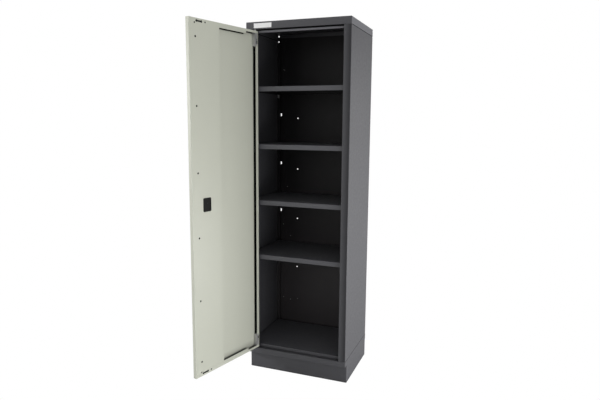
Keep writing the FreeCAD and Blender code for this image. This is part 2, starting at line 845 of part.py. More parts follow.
def make_plinth_bolts():
    radius = s.plinth_bolt_radius.number
    head = s.plinth_bolt_head.number
    seat = (s.plinth_height + s.carcass_sheet).number
    under = (s.plinth_height - s.plinth_sheet).number
    bolts = []
    nuts = []
    for x, y in plinth_bolt_places():
        spot = FreeCAD.Vector(x.number, y.number, 0)
        shank = turned([(0, under - 1.4 * radius), (radius - 0.4, under - 1.4 * radius),
                        (radius, under - 1.2 * radius), (radius, seat), (0, seat)])
        cap = hexagon_prism(head, seat, seat + 1.3 * radius)
        bolts.append(shank.fuse(cap).removeSplitter().translate(spot))
        nut = hexagon_prism(head, under - radius, under)
        bore = Part.makeCylinder(radius + 0.05, 2 * radius, FreeCAD.Vector(0, 0, under - 1.5 * radius))
        nuts.append(nut.cut(bore).translate(spot))
    add_shape("plinth_bolts", Part.makeCompound(bolts))
    add_shape("plinth_nuts", Part.makeCompound(nuts))


def make_back_rivets():
    """Blind rivets through the back panel's edges into the side panels' rear flanges."""
    radius = s.rivet_radius.number
    head = s.rivet_head.number
    shank = s.rivet_shank.number - 0.05
    grip = -2 * s.carcass_sheet.number
    outline = [(0, head), (radius * 0.3, head), (radius * 0.75, head * 0.7), (radius, 0),
               (shank, 0), (shank, grip), (radius * 0.8, grip), (radius * 0.7, grip - 1.5),
               (0, grip - 2)]
    rivets = []
    for x, z in rivet_places():
        rivet = turned(outline)
        rivet.rotate(FreeCAD.Vector(0, 0, 0), FreeCAD.Vector(1, 0, 0), -90)
        rivets.append(rivet.translate(FreeCAD.Vector(x.number, back_outer.number, z.number)))
    add_shape("back_panel_rivets", Part.makeCompound(rivets))


# --------------------------------------------------------------------------------------------
# Door, drawn shut
# --------------------------------------------------------------------------------------------

pivot = FreeCAD.Vector(pivot_x.number, pivot_y.number, 0)
door_turn = FreeCAD.Rotation(FreeCAD.Vector(0, 0, 1), -s.door_open_angle.number)
door_placement = FreeCAD.Placement(FreeCAD.Vector(0, 0, 0), door_turn, pivot)


def on_door(x=0, y=0, z=0):
    """Placement of a piece whose own origin lies at this point of the shut door."""
    spot = FreeCAD.Placement(FreeCAD.Vector(x, y, z), FreeCAD.Rotation())
    return door_placement * spot


def make_door_skin():
    """Front sheet with flanges all round and lips along the hinge side, top and bottom."""
    skin = new_body("door_skin")
    metal = s.door_sheet
    slab(skin, "skin_sheet", "XZ", front, front + metal,
         rectangle(door_left, door_bottom, door_right, door_top))
    slab(skin, "skin_flanges", "XZ", front + metal, door_inner - metal,
         *outer_ring(metal, door_left, door_bottom, door_right, door_top))
    seam = door_right - s.channel_width
    wide, thin = s.end_lip, s.end_lip_narrow
    lip_x, notch_x = door_left + s.side_lip, door_left + s.side_lip_narrow
    step_x = door_left + s.corner_reach
    slab(skin, "skin_lips", "XZ", door_inner - metal, door_inner, polygon(
        (door_left, door_bottom),
        (seam, door_bottom),
        (seam, door_bottom + wide),
        (step_x, door_bottom + wide),
        (step_x, door_bottom + thin),
        (notch_x, door_bottom + thin),
        (notch_x, door_bottom + s.corner_height),
        (lip_x, door_bottom + s.corner_height),
        (lip_x, door_top - s.corner_height),
        (notch_x, door_top - s.corner_height),
        (notch_x, door_top - thin),
        (step_x, door_top - thin),
        (step_x, door_top - wide),
        (seam, door_top - wide),
        (seam, door_top),
        (door_left, door_top)))
    pin_hole = disc(pivot_x, pivot_y, s.pin_radius + s.pin_clearance)
    cut(skin, "skin_top_openings", "XY", door_top - metal, door_top, pin_hole, rod_slot(1))
    cut(skin, "skin_bottom_openings", "XY", door_bottom, door_bottom + metal,
        pin_hole, rod_slot(-1))
    cut(skin, "skin_lock_holes", "XZ", front, front + metal,
        disc(lock_x, s.lock_height, s.spindle_radius + 1),
        *[disc(lock_x, z, s.lock_screw_radius + 0.4) for z in lock_screw_levels()])
    round_edges(skin, "skin_front_rim", s.door_bend, lambda a, b:
                near(a.y, front) and near(b.y, front) and on_door_outline(a, b))
    round_edges(skin, "skin_lip_bend", s.door_bend, lambda a, b:
                near(a.y, door_inner) and near(b.y, door_inner)
                and near(a.x, door_left) and near(b.x, door_left))
    skin.Placement = door_placement


def on_door_outline(start, end):
    """True for an edge that runs along one side of the shut door's outline."""
    return any(near(start.x, x) and near(end.x, x) for x in (door_left, door_right)) or any(
        near(start.z, z) and near(end.z, z) for z in (door_bottom, door_top))


def make_lock_channel():
    """Box channel down the lock side: it stiffens the door and carries the rods."""
    channel = new_body("lock_channel")
    metal = s.door_sheet
    left = door_right - s.channel_width
    back = front + metal
    slab(channel, "channel_fold", "XY", door_bottom + metal, door_top - metal, polygon(
        (door_right - metal, door_inner),
        (left, door_inner),
        (left, back + metal),
        (left - s.channel_foot, back + metal),
        (left - s.channel_foot, back),
        (left + metal, back),
        (left + metal, door_inner - metal),
        (door_right - metal, door_inner - metal)))
    slab(channel, "channel_face", "XZ", door_inner - metal, door_inner,
         rectangle(left, door_bottom, door_right, door_top))
    peg_hole = cut(channel, "peg_holes", "XZ", door_inner - metal, door_inner,
                   disc(door_right - s.peg_hole_backset, door_bottom + s.first_peg_hole,
                        s.peg_hole_radius))
    peg_run = door_top - door_bottom - s.first_peg_hole - s.last_peg_hole
    repeat(channel, "peg_hole_row", peg_hole, "XY", "Z", peg_run / (s.peg_hole_count - 1),
           s.peg_hole_count)
    cut(channel, "cover_window", "XZ", door_inner - metal, door_inner,
        soft_rectangle(lock_x, s.lock_height, s.cover_width - 2 * s.cover_wall,
                       s.cover_height - 2 * s.cover_wall, s.cover_corner - s.cover_wall))
    for end, level in ((1, door_top), (-1, door_bottom)):
        z = level - end * s.guide_window_drop
        start = lock_x + s.guide_window_start
        cut(channel, "guide_sights_%s" % name_of(end), "XZ", door_inner - metal, door_inner,
            disc(start, z, s.guide_hole_radius),
            disc(start + s.guide_window, z, s.guide_hole_radius))
        cut(channel, "guide_sight_slot_%s" % name_of(end), "XZ", door_inner - metal, door_inner,
            rectangle(start, z - s.guide_window_height / 2,
                      start + s.guide_window, z + s.guide_window_height / 2))
        cut(channel, "guide_screw_holes_%s" % name_of(end), "XZ", door_inner - metal, door_inner,
            *[disc(x, y, s.guide_screw_radius * 0.7 + 0.2) for x, y in guide_screw_places(end)])
    channel.Placement = door_placement


def name_of(end):
    return "upper" if end > 0 else "lower"


def guide_screw_places(end):
    level = door_top if end > 0 else door_bottom
    return [(lock_x + s.guide_outer - 7, level - end * (s.guide_window_drop + 9)),
            (lock_x - s.guide_inner + 12, level - end * s.guide_window_drop)]


def make_hinge_bracket(end):
    """Folded corner bracket that guides a hinge pin; end is +1 at the top, -1 at the bottom."""
    bracket = new_body("hinge_bracket_" + name_of(end))
    metal = s.bracket_sheet
    left = door_left + s.door_sheet
    right = left + s.bracket_width
    skin = front + s.door_sheet
    face = door_inner - s.door_sheet
    outer = (door_top - s.door_sheet) if end > 0 else (door_bottom + s.door_sheet)
    inner = outer - end * s.bracket_height
    low, high = (inner, outer) if end > 0 else (outer, inner)
    slab(bracket, "bracket_fold", "XY", low, high, polygon(
        (left, face), (left, face - metal), (right - metal, face - metal),
        (right - metal, skin), (right, skin), (right, face)))
    lug_z = (low, low + metal) if end > 0 else (high - metal, high)
    slab(bracket, "bracket_lug", "XY", *lug_z,
         rectangle(left, skin, right - metal, face - metal))
    cut(bracket, "bracket_pin_hole", "XY", *lug_z,
        disc(pivot_x, pivot_y, s.pin_radius + s.pin_clearance))
    tab = tab_level(end)
    travel = s.pin_travel + s.tab_height
    window = (tab - travel, tab + s.tab_height) if end > 0 else (tab - s.tab_height, tab + travel)
    cut(bracket, "bracket_tab_slot", "XZ", face - metal, face,
        rectangle(pivot_x - s.tab_width, window[0], pivot_x + s.tab_width, window[1]))
    bracket.Placement = door_placement


def spring_seat(end):
    """Level of the lug face that the spring stands on."""
    outer = (door_top - s.door_sheet) if end > 0 else (door_bottom + s.door_sheet)
    return outer - end * (s.bracket_height - s.bracket_sheet)


def tab_level(end):
    """Middle of the finger tab."""
    return spring_seat(end) + end * (s.spring_length + s.clip_ring + s.tab_height * 1.2)


def make_hinge_pin(end):
    """Sprung hinge pin with a rounded nose, a groove for its clip and a finger tab."""
    pin = new_body("hinge_pin_" + name_of(end))
    radius = s.pin_radius
    seat = spring_seat(end)
    plate = (cap_bottom + s.carcass_sheet) if end > 0 else (base_top - s.carcass_sheet)
    nose = plate + end * s.pin_reach
    tail = seat - end * (s.bracket_sheet + 2)
    groove = seat + end * s.spring_length
    ring = end * s.clip_ring
    spin(pin, "pin_turned", [
        (0, tail), (radius - 0.5, tail), (radius, tail + end * 0.5), (radius, groove),
        (radius - s.clip_groove, groove), (radius - s.clip_groove, groove + ring),
        (radius, groove + ring), (radius, nose - end * 2.0), (radius - 1.5, nose), (0, nose)])
    tab = tab_level(end)
    reach = door_inner - pivot_y
    slab(pin, "pin_tab", "XY", tab - s.tab_height / 2, tab + s.tab_height / 2,
         rectangle(-s.tab_width / 2, 0, s.tab_width / 2, reach))
    pin.Placement = on_door(pivot.x, pivot.y)


def make_hinge_clip(end):
    """Open spring ring in the pin's groove; the spring pushes on it."""
    label = "hinge_clip_" + name_of(end)
    clip = new_body(label)
    groove = spring_seat(end) + end * s.spring_length
    low, high = (groove, groove + s.clip_ring) if end > 0 else (groove - s.clip_ring, groove)
    inner = s.pin_radius - s.clip_groove + 0.05
    slab(clip, "clip_ring", "XY", low + 0.05, high - 0.05,
         disc(0, 0, s.pin_radius + 1.6), disc(0, 0, inner))
    cut(clip, "clip_mouth", "XY", low, high,
        rectangle(-inner * 0.75, -s.pin_radius - 3, inner * 0.75, 0))
    clip.Placement = on_door(pivot.x, pivot.y)


def make_hinge_spring(end):
    spring = new_body("hinge_spring_" + name_of(end))
    wire = s.spring_wire / 2
    coil = s.pin_radius + wire + 0.3
    seat = spring_seat(end)
    start = (seat + wire + 0.05) if end > 0 else (seat - s.spring_length + wire + 0.05)
    drawing = draw(spring, "spring_wire", "XZ", 0, [disc(coil, start, wire)])
    helix = spring.newObject("PartDesign::AdditiveHelix", "spring_coil")
    helix.Profile = drawing
    helix.ReferenceAxis = (drawing, ["V_Axis"])
    helix.Mode = "height-turns-angle"
    bind(helix, "Height", s.spring_length - 2 * wire - 0.1)
    bind(helix, "Turns", s.spring_turns)
    document.recompute()
    spring.Placement = on_door(pivot.x, pivot.y)


def make_hinge_washer():
    """Plain bearing washer between the door's foot and the base tray; it carries the door."""
    washer = new_body("hinge_washer")
    slab(washer, "washer_ring", "XY", base_top, door_bottom,
         disc(0, 0, s.washer_radius), disc(0, 0, s.pin_radius + s.pin_clearance))
    washer.Placement = FreeCAD.Placement(pivot, FreeCAD.Rotation())


# --------------------------------------------------------------------------------------------
# Lock and handle, drawn on the shut door with the rods drawn back
# --------------------------------------------------------------------------------------------

def lock_screw_levels():
    return [s.lock_height - s.lock_screw_line, s.lock_height + s.lock_screw_line]


def make_lock_case():
    """Bearing plate behind the skin for the spindle, with a boss and two screw ears."""
    case = new_body("lock_case")
    back = front + s.door_sheet
    slab(case, "case_plate", "XZ", back, back + s.case_depth / 3,
         soft_rectangle(size_of(0), s.lock_height, s.case_width, s.case_height, s.cover_corner))
    slab(case, "case_boss", "XZ", back + s.case_depth / 3, back + s.case_depth,
         disc(0, s.lock_height, s.cam_radius - 3))
    cut(case, "case_bore", "XZ", back, back + s.case_depth,
        disc(0, s.lock_height, s.spindle_radius + s.plug_fit))
    cut(case, "case_screw_holes", "XZ", back, back + s.case_depth / 3,
        *[disc(0, z, s.lock_screw_radius + 0.4) for z in lock_screw_levels()])
    case.Placement = on_door(lock_x.number)


def make_lock_cover():
    """Black cap in the channel's window over the lock."""
    cover = new_body("lock_cover")
    slab(cover, "cover_flange", "XZ", door_inner, door_inner + s.cover_proud,
         soft_rectangle(size_of(0), s.lock_height, s.cover_width, s.cover_height,
                        s.cover_corner))
    inside = s.cover_wall + 0.25
    slab(cover, "cover_plug", "XZ", door_inner - 2 * s.door_sheet, door_inner,
         soft_rectangle(size_of(0), s.lock_height, s.cover_width - 2 * inside,
                        s.cover_height - 2 * inside, s.cover_corner - s.cover_wall))
    cut(cover, "cover_dish", "XZ", door_inner - s.door_sheet / 2, door_inner + s.cover_proud,
        soft_rectangle(size_of(0), s.lock_height, s.cover_width - 4 * s.cover_wall,
                       s.cover_height - 4 * s.cover_wall, s.cover_corner - s.cover_wall))
    cover.Placement = on_door(lock_x.number)


def square_about(side):
    """Outline of a square on the lock's axis."""
    return rectangle(-side / 2, s.lock_height - side / 2, side / 2, s.lock_height + side / 2)


def make_rod_driver():
    """Spindle, cam disc and two crank pins that move the rods apart."""
    driver = new_body("rod_driver")
    cam_back = rod_front - 0.6
    cam_front = cam_back - s.cam_thickness
    slab(driver, "driver_cam", "XZ", cam_front, cam_back, disc(0, s.lock_height, s.cam_radius))
    slab(driver, "driver_spindle", "XZ", handle_back, cam_front,
         disc(0, s.lock_height, s.spindle_radius))
    slab(driver, "driver_square", "XZ", handle_back - s.square_length, handle_back,
         square_about(s.spindle_square))
    part_turn = math.radians(45)
    across = crank_radius * math.cos(part_turn)
    along = crank_radius * math.sin(part_turn)
    slab(driver, "driver_pins", "XZ", cam_back, rod_front + s.rod_thickness + 0.8,
         disc(across, s.lock_height - along, s.crank_pin),
         disc(-across, s.lock_height + along, s.crank_pin))
    driver.Placement = on_door(lock_x.number)


def make_rod(side):
    """Flat lock rod with a cross slot for its crank pin; side 1 is the upper rod."""
    rod = new_body("upper_rod" if side > 0 else "lower_rod")
    middle = side * s.rod_offset
    along = crank_radius * math.sin(math.radians(45))
    pin_z = s.lock_height - side * along
    tail = pin_z - side * s.rod_width / 2
    tip = (door_top - s.door_sheet) if side > 0 else (door_bottom + s.door_sheet)
    low, high = (tail, tip) if side > 0 else (tip, tail)
    rod_back = rod_front + s.rod_thickness
    slab(rod, "rod_bar", "XZ", rod_front, rod_back,
         rectangle(middle - s.rod_width / 2, low, middle + s.rod_width / 2, high))
    slot_radius = s.crank_pin + s.crank_play
    inner_x = crank_radius * math.cos(math.radians(45))
    cut(rod, "rod_cross_slot", "XZ", rod_front, rod_back,
        slot(*sorted([(side * inner_x, pin_z), (side * (crank_radius + 0.2), pin_z)],
                     key=lambda point: point[0].number), slot_radius))
    tip_z = tip.number
    round_edges(rod, "rod_nose", s.rod_thickness, lambda a, b:
                near(a.z, tip_z) and near(b.z, tip_z) and near(a.x, b.x))
    rod.Placement = on_door(lock_x.number)


def make_rod_guide(end):
    """Moulded block in a channel end; its window keeps one rod in line."""
    guide = new_body("rod_guide_" + name_of(end))
    level = (door_top - s.door_sheet) if end > 0 else (door_bottom + s.door_sheet)
    inner = level - end * s.guide_height
    low, high = (inner, level) if end > 0 else (level, inner)
    slab(guide, "guide_block", "XZ", front + s.door_sheet, door_inner - s.door_sheet,
         rectangle(-s.guide_inner, low, s.guide_outer, high))
    cut(guide, "guide_way", "XY", low, high, rectangle(
        end * s.rod_offset - s.rod_width / 2 - 0.3, rod_front - 0.3,
        end * s.rod_offset + s.rod_width / 2 + 0.3, rod_front + s.rod_thickness + 0.3))
    cut(guide, "guide_pilots", "XZ", door_inner - s.door_sheet - s.guide_screw_bite - 0.2,
        door_inner - s.door_sheet,
        *[disc(x - lock_x, z, s.guide_screw_radius * 0.7 + 0.05)
          for x, z in guide_screw_places(end)])
    guide.Placement = on_door(lock_x.number)


def make_guide_screws():
    """Four countersunk-look screws that hold the two rod guides."""
    radius = s.guide_screw_radius.number
    core = radius * 0.7
    face = door_inner.number
    end = -s.door_sheet.number - s.guide_screw_bite.number
    outline = [(0, 0.9), (radius * 1.3, 0.9), (radius * 1.6, 0.4), (radius * 1.6, 0), (core, 0),
               (core, end + 0.8), (0, end)]
    screws = []
    for end in (1, -1):
        for x, z in guide_screw_places(end):
            screw = turned(outline)
            screw.rotate(FreeCAD.Vector(0, 0, 0), FreeCAD.Vector(1, 0, 0), -90)
            screws.append(screw.translate(FreeCAD.Vector(x.number, face, z.number)))
    add_shape("rod_guide_screws", Part.makeCompound(screws), door_placement)


def make_handle_plate():
    """Moulded base of the handle on the door's front."""
    plate = new_body("handle_plate")
    slab(plate, "plate_body", "XZ", front - s.plate_depth, front,
         soft_rectangle(size_of(0), s.lock_height, s.plate_width, s.plate_height,
                        s.plate_corner))
    cut(plate, "plate_bore", "XZ", front - s.plate_depth, front,
        disc(0, s.lock_height, s.spindle_radius + s.plug_fit))
    cut(plate, "plate_pilots", "XZ", front - s.plate_depth * 0.7, front,
        *[disc(0, z, s.lock_screw_radius + 0.05) for z in lock_screw_levels()])
    face = (front - s.plate_depth).number
    round_edges(plate, "plate_rim", 2.0, lambda a, b: near(a.y, face) and near(b.y, face)
                and abs(a.z - s.lock_height.number) > s.hub_radius.number)
    plate.Placement = on_door(lock_x.number)


def make_turn_handle():
    """Lever that turns the spindle; it points to the hinge side with the rods drawn back."""
    handle = new_body("turn_handle")
    face = handle_back - s.hub_depth
    z = s.lock_height
    slab(handle, "handle_hub", "XZ", face, handle_back, disc(0, z, s.hub_radius))
    tip = s.lever_length - s.lever_tip / 2
    slab(handle, "handle_lever", "XZ", face, face + s.lever_depth,
         (draw_rounded, ([(-tip, z), (0, z)], [s.lever_tip / 2, s.lever_root / 2])))
    cut(handle, "handle_plug_bore", "XZ", face, face + s.plug_depth,
        disc(0, z, s.plug_radius + s.plug_fit))
    cut(handle, "handle_spindle_bore", "XZ", handle_back - s.square_length - 0.3, handle_back,
        square_about(s.spindle_square + 0.1))
    front_level = face.number
    round_edges(handle, "handle_rim", 2.5, lambda a, b:
                near(a.y, front_level) and near(b.y, front_level)
                and math.hypot(a.x, a.z - z.number) > s.plug_radius.number + 1)
    handle.Placement = on_door(lock_x.number)


def make_key_plug():
    plug = new_body("key_plug")
    face = handle_back - s.hub_depth
    z = s.lock_height
    slab(plug, "plug_body", "XZ", face - 0.8, face + s.plug_depth - 0.2,
         disc(0, z, s.plug_radius))
    cut(plug, "plug_keyway", "XZ", face - 0.8, face + s.plug_depth * 0.7,
        rectangle(-0.9, z - s.plug_radius * 0.6, 0.9, z + s.plug_radius * 0.6))
    plug.Placement = on_door(lock_x.number)


def make_lock_screws():
    """Two screws that clamp the handle plate and lock case to the skin between them."""
    screws = []
    case_face = (front + s.door_sheet + s.case_depth / 3).number
    depth = case_face - (front - s.plate_depth * 0.6).number
    radius = s.lock_screw_radius.number
    outline = [(0, radius), (radius * 1.2, radius), (radius * 1.9, radius / 2),
               (radius * 1.9, 0), (radius, 0), (radius, -depth), (0, -depth)]
    for level in lock_screw_levels():
        screw = turned(outline)
        screw.rotate(FreeCAD.Vector(0, 0, 0), FreeCAD.Vector(1, 0, 0), -90)
        screws.append(screw.translate(FreeCAD.Vector(lock_x.number, case_face, level.number)))
    add_shape("lock_screws", Part.makeCompound(screws), door_placement)


# --------------------------------------------------------------------------------------------
# Build, check and write
# --------------------------------------------------------------------------------------------

make_lid()
make_lintel()
make_side_panel("side_panel_left", -1)
make_side_panel("side_panel_right", 1)
make_post("rear_post_left", -1)
make_post("rear_post_right", 1)
make_back_panel()
make_back_rivets()
make_base_tray()
make_floor_panel()
make_plinth()
make_plinth_bolts()
for shelf_number in shelf_numbers:
    make_shelf(shelf_number)
    make_shelf_clips(shelf_number)
make_door_skin()
make_lock_channel()
for door_end in (1, -1):
    make_hinge_bracket(door_end)
    make_hinge_pin(door_end)
    make_hinge_clip(door_end)
    make_hinge_spring(door_end)
    make_rod_guide(door_end)
    make_rod(door_end)
make_hinge_washer()
make_lock_case()
make_lock_cover()
make_rod_driver()
make_guide_screws()
make_handle_plate()
make_turn_handle()
make_key_plug()
make_lock_screws()
document.recompute()

for item in document.Objects:
    if "Invalid" in item.State or "Error" in item.State:
        raise RuntimeError(item.Label + " failed to build")

os.makedirs("parts", exist_ok=True)
for item in document.Objects:
    if item.TypeId not in ("PartDesign::Body", "Part::Feature"):
        continue
    if item.Shape.isNull() or not item.Shape.isValid():
        raise RuntimeError(item.Label + " has no valid shape")
    item.Shape.exportStep(os.path.join("parts", item.Label + ".step"))
    print("%-24s %2d solids %12.1f mm3" % (item.Label, len(item.Shape.Solids), item.Shape.Volume))
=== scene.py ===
import json
import math

import bmesh
import bpy
from mathutils import Matrix, Vector


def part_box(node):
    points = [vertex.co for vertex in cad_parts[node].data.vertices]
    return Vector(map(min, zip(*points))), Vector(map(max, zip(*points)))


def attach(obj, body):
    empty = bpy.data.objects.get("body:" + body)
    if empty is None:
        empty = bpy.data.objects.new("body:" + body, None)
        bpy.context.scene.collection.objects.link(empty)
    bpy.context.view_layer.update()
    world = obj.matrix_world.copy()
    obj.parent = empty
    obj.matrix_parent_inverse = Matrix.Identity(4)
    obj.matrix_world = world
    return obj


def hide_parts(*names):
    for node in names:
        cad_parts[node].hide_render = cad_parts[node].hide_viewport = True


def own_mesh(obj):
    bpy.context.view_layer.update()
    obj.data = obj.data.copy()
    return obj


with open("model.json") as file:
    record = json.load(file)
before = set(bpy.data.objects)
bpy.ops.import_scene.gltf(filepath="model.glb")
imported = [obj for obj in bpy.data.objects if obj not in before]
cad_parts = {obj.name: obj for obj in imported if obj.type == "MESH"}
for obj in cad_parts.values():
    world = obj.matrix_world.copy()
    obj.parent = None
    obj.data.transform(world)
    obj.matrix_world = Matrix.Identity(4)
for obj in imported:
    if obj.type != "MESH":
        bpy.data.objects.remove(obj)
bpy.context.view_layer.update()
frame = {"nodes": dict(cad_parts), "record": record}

NODES = frame["nodes"]

# sRGB values of the two paints
ANTHRACITE = (0.285, 0.285, 0.300)
LIGHT_GREY = (0.768, 0.776, 0.724)

# The door's pivot, and how far the door stands open at rest
DOOR_PIVOT = (-0.248, -0.2185, 0)
DOOR_OPEN = math.radians(104)

# Lines on the door's inside, in metres from the pivot: x towards the lock, y inwards
DOOR_LEFT, DOOR_RIGHT = -0.0069, 0.5029
DOOR_OUTER, DOOR_LIP_FACE, DOOR_INNER_FACE = -0.0060, 0.0124, 0.0120
NOTCH_EDGE, LIP_EDGE, STEP_EDGE = -0.003, 0.0125, 0.0905
CHANNEL_SEAM, PEG_LINE = 0.2955, 0.4605

COAT_GLOSS = 0.42
FLAT_ANGLE = math.radians(0.5)
SHARP_ANGLE = math.radians(40)


def linear(colour):
    """An sRGB colour as linear RGBA."""
    channels = [c / 12.92 if c <= 0.04045 else ((c + 0.055) / 1.055) ** 2.4 for c in colour]
    return (*channels, 1.0)


def grey(value):
    return (value, value, value, 1.0)


# ---------------------------------------------------------------------------
# Materials
# ---------------------------------------------------------------------------

class Shader:
    """A material with one principled shader and small helpers for adding nodes."""

    def __init__(self, name):
        self.material = bpy.data.materials.new(name)
        self.material.use_nodes = True
        self.tree = self.material.node_tree
        self.main = self.tree.nodes["Principled BSDF"]
        self.place = self.tree.nodes.new("ShaderNodeTexCoord").outputs["Object"]

    def set(self, socket, value):
        """Give a socket a value, or link another node's output to it."""
        if isinstance(value, bpy.types.NodeSocket):
            self.tree.links.new(value, socket)
        else:
            socket.default_value = value

    def node(self, kind, **inputs):
        """A new node; the inputs go by name, with _ for a space."""
        new = self.tree.nodes.new(kind)
        for name, value in inputs.items():
            self.set(new.inputs[name.replace("_", " ")], value)
        return new

    def give(self, **inputs):
        """Set the principled shader's inputs by name, with _ for a space."""
        for name, value in inputs.items():
            self.set(self.main.inputs[name.replace("_", " ")], value)

    def noise(self, scale, detail=2.0, roughness=0.5, stretch=None):
        vector = self.place
        if stretch:
            vector = self.node("ShaderNodeMapping", Vector=self.place,
                               Scale=stretch).outputs["Vector"]
        return self.node("ShaderNodeTexNoise", Vector=vector, Scale=scale, Detail=detail,
                         Roughness=roughness).outputs["Fac"]

    def spread(self, factor, low, high, start=0.3, end=0.7):
        """The factor's part from start to end, stretched to run from low to high."""
        new = self.node("ShaderNodeMapRange", Value=factor)
        for name, value in (("From Min", start), ("From Max", end), ("To Min", low),
                            ("To Max", high)):
            new.inputs[name].default_value = value
        return new.outputs["Result"]

    def mix(self, factor, first, second, blend="MIX"):
        new = self.tree.nodes.new("ShaderNodeMix")
        new.data_type = "RGBA"
        new.blend_type = blend
        self.set(new.inputs[0], factor)
        self.set(new.inputs[6], first)
        self.set(new.inputs[7], second)
        return new.outputs[2]

    def math(self, operation, *values):
        new = self.tree.nodes.new("ShaderNodeMath")
        new.operation = operation
        for socket, value in zip(new.inputs, values):
            self.set(socket, value)
        return new.outputs[0]

    def inside(self, spot, low, high):
        """1 inside the box between two corners, 0 outside it."""
        within = None
        for value, start, end in zip(spot, low, high):
            off_centre = self.math("ABSOLUTE", self.math("SUBTRACT", value, (start + end) / 2))
            here = self.math("LESS_THAN", off_centre, (end - start) / 2)
            within = here if within is None else self.math("MULTIPLY", within, here)
        return within

    def openness(self, reach, closed, clear):
        """From 0 deep in a gap or fold to 1 on an open face."""
        new = self.node("ShaderNodeAmbientOcclusion", Distance=reach)
        new.samples = 8
        return self.spread(new.outputs["AO"], 0.0, 1.0, closed, clear)

    def bump(self, height, strength, distance, below=None):
        new = self.node("ShaderNodeBump", Height=height, Strength=strength, Distance=distance)
        if below:
            self.set(new.inputs["Normal"], below)
        return new.outputs["Normal"]


def powder_coat(name, colour, roughness, tint, gap_shade, shade_areas):
    """Fine-textured powder coat with faint handling marks, and painted shade in gaps and folds.

    shade_areas(shader) gives masks of painted light and shade, each with the factors for the
    coat's colour and gloss there.
    """
    shader = Shader(name)
    cloud = shader.noise(scale=3.5, detail=4.0, roughness=0.6)
    dust = shader.noise(scale=60.0, detail=3.0, roughness=0.65)
    full = linear(colour)
    worn = (*(min(1.0, channel * tint) for channel in full[:3]), 1.0)
    gap_shaded_coat = (*(channel * gap_shade for channel in full[:3]), 1.0)
    coat = shader.mix(shader.spread(cloud, 0.0, 0.5), full, worn)
    coat = shader.mix(shader.spread(dust, 0.0, 0.25), coat, worn)
    # Painted shade: deep in gaps, folds and corners the coat turns to the gap shade colour, where
    # shade falls.
    coat = shader.mix(shader.openness(reach=0.03, closed=0.20, clear=0.75), gap_shaded_coat, coat)
    gloss = COAT_GLOSS
    for mask, factor, shine in shade_areas(shader):
        change = shader.math("MULTIPLY", mask, shine - 1.0)
        gloss = shader.math("MULTIPLY", gloss, shader.math("ADD", change, 1.0))
        coat = shader.mix(mask, coat, factor, blend="MULTIPLY")
    shader.give(Base_Color=coat,
                Roughness=shader.spread(dust, roughness - 0.05, roughness + 0.06),
                Specular_IOR_Level=gloss)
    grain = shader.bump(shader.noise(scale=1500.0), strength=0.16, distance=0.0004)
    waves = shader.bump(shader.noise(scale=9.0), strength=0.05, distance=0.0015, below=grain)
    shader.give(Normal=waves)
    return shader.material


def plated(name, colour, roughness, metallic=0.9):
    """Plated or dark steel with faint drawn lines."""
    shader = Shader(name)
    lines = shader.noise(scale=500.0, detail=2.0, roughness=0.6, stretch=(1.0, 1.0, 0.06))
    shader.give(Base_Color=linear(colour), Metallic=metallic,
                Roughness=shader.spread(lines, roughness - 0.07, roughness + 0.09),
                Normal=shader.bump(lines, strength=0.08, distance=0.0003))
    return shader.material


def moulded(name, colour, roughness):
    """Moulded plastic with a light spark-eroded grain."""
    shader = Shader(name)
    grain = shader.noise(scale=1100.0, detail=3.0, roughness=0.6)
    shader.give(Base_Color=linear(colour), Specular_IOR_Level=0.2,
                Roughness=shader.spread(grain, roughness - 0.05, roughness + 0.08),
                Normal=shader.bump(grain, strength=0.12, distance=0.0003))
    return shader.material


